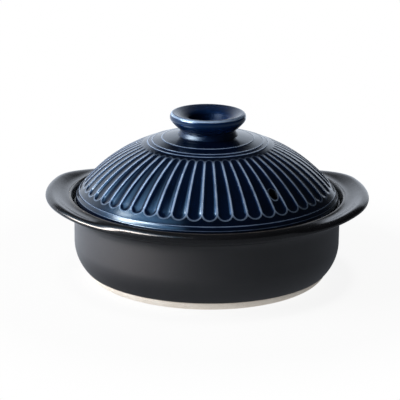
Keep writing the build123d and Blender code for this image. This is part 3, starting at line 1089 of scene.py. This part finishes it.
def white_floor():
    """A large pale table with the pot's soft shadow and painted shade round it, mirrored brightly
    only towards the window.
    """
    mesh = bpy.data.meshes.new("floor")
    mesh.from_pydata(floor_corners, [], [(0, 1, 2, 3)])
    floor = new_object("floor", mesh)
    material, tree, where = new_material("floor_white")
    path = add_node(tree, "LightPath")
    from_pot = vector_calc(tree, "LENGTH", where)["Value"]
    windowward = vector_calc(tree, "DOT_PRODUCT", where, towards_window)["Value"]

    diffuse = add_node(tree, "BsdfDiffuse", {"Color": floor_grey})[0]
    # Less white glow near the pot paints shade round it, on top of the real cast shadow
    contact, soft = (ease(tree, from_pot, *step) for step in painted_shadow_steps)
    glow_share_with_painted_shade = calc(tree, "MAXIMUM", contact, soft)
    bounce = product(tree, path["Is Diffuse Ray"], ease(tree, windowward, *bounce_step))
    share = calc(tree, "MULTIPLY_ADD", path["Is Camera Ray"], glow_share_with_painted_shade, bounce)
    glow = shining(tree, "Emission", plain_white, 1.0)
    seen = join_shaders(tree, "MixShader", share, diffuse, glow)
    level = product(tree, *(ease(tree, windowward, *step) for step in mirrored_floor_steps))
    mirrored = shining(tree, "Emission", studio_tint, level)
    both = join_shaders(tree, "MixShader", path["Is Glossy Ray"], seen, mirrored)
    add_node(tree, "OutputMaterial", {0: both})
    mesh.materials.append(material)


def soft_box(name, place, width, height, watts):
    """A lamp that lights the clay and the glaze's body; the gloss mirrors the room instead."""
    lamp = bpy.data.lights.new(name, "AREA")
    lamp.shape = "RECTANGLE"
    lamp.size, lamp.size_y = width, height
    lamp.energy = watts
    holder = new_object(name, lamp)
    holder.location = place
    facing = (Vector(lamp_aim) - holder.location).to_track_quat("-Z", "Y")
    holder.rotation_euler = facing.to_euler()
    holder.visible_camera = False
    holder.visible_glossy = False


def studio_room():
    """What the gloss mirrors: a pale sweep behind, a soft window at the left, dark overhead."""
    world = bpy.context.scene.world = bpy.data.worlds.new("studio")
    tree = empty_tree(world)
    path = add_node(tree, "LightPath")
    way = add_node(tree, "TexCoord")["Generated"]
    along, back, up = axes(tree, way)

    turned_back = calc(tree, "MULTIPLY_ADD", along, sweep_turn, back)
    past_right = calc(tree, "MAXIMUM", calc(tree, "SUBTRACT", along, sweep_falls_from), 0.0)
    top = calc(tree, "MULTIPLY_ADD", past_right, sweep_fall, up)
    sweep = product(
        tree, ease(tree, turned_back, *sweep_side_step), ease(tree, along, *sweep_right_step),
        ease(tree, top, *sweep_top_step),
    )
    level = calc(tree, "MULTIPLY_ADD", sweep, sweep_strength, room_level)
    mirrored = shining(tree, "Background", studio_tint, level)
    aside = calc(tree, "ABSOLUTE", vector_calc(tree, "DOT_PRODUCT", way, across_window)["Value"])
    leftward = ease(tree, along, *window_left_step)
    for tint, strength, (side_step, foot_step, top_step) in (
        (window_tint, window_strength, window_steps), (sky_tint, sky_strength, sky_steps),
    ):
        brightness = product(
            tree, ease(tree, aside, *side_step), ease(tree, up, *foot_step),
            ease(tree, up, *top_step), leftward, strength,
        )
        light = shining(tree, "Background", tint, brightness)
        mirrored = join_shaders(tree, "AddShader", mirrored, light)

    soft_level = ease(tree, along, *soft_light_step)
    soft = shining(tree, "Background", plain_white, soft_level)
    backdrop = shining(tree, "Background", plain_white, 1.0)
    lit = join_shaders(tree, "MixShader", path["Is Glossy Ray"], soft, mirrored)
    seen = join_shaders(tree, "MixShader", path["Is Camera Ray"], lit, backdrop)
    add_node(tree, "OutputWorld", {0: seen})


def camera():
    """The photo's view: a long lens a little above the rim, turned slightly to the left."""
    elevation = math.radians(16.25)
    around = math.radians(1.2)
    distance = 1.8
    focal_pixels, picture_pixels, film_width = 1928.4, 400, 36.0
    looked_at = Vector((0, 0, 0.0816))
    seen_right, seen_up = 7.2, 10.4
    lean = math.radians(0.6)
    back = Vector((
        -math.sin(around) * math.cos(elevation),
        -math.cos(around) * math.cos(elevation),
        math.sin(elevation),
    ))
    data = bpy.data.cameras.new("camera")
    data.sensor_width = film_width
    data.lens = film_width * focal_pixels / picture_pixels
    data.clip_start = 0.05
    holder = new_object("camera", data)
    level = Vector((0, 0, 1)).cross(back).normalized()
    upright = back.cross(level).normalized()
    right = level * math.cos(lean) + upright * math.sin(lean)
    up = upright * math.cos(lean) - level * math.sin(lean)
    pixel = distance / focal_pixels
    aim = looked_at - right * seen_right * pixel - up * seen_up * pixel
    holder.location = looked_at + back * distance
    facing = (aim - holder.location).to_track_quat("-Z", "Y")
    holder.rotation_mode = "QUATERNION"
    holder.rotation_quaternion = facing @ Quaternion((0, 0, 1), lean)
    bpy.context.scene.camera = holder


# Put together

def finish_piece(piece, body, slot, material, *nodes):
    piece.data.materials.append(material)
    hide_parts(*nodes)
    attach(piece, body)


def main():
    plan_distance_group()
    orange_peel_group()
    speck_group()
    wheel_line_group()
    black, blue, clay = black_glaze(), blue_glaze(), bare_clay()
    finish_piece(glazed_pot(), "pot", "black_glaze", black, "pot_bowl", "lug_right", "lug_left")
    finish_piece(clay_foot(), "pot", "bare_clay", clay, "bare_foot")
    finish_piece(lid_shell(), "lid", "blue_glaze", blue, "lid_dome")
    finish_piece(knob_cup(), "lid", "blue_glaze", blue, "lid_knob")
    white_floor()
    studio_room()
    soft_box("left_key", (-1.63, -0.41, 0.97), width=1.2, height=1.2, watts=37)
    soft_box("front_fill", (-0.4, -1.7, 0.7), width=1.6, height=1.2, watts=1.6)
    camera()
    bpy.context.scene.view_settings.view_transform = "Standard"


main()
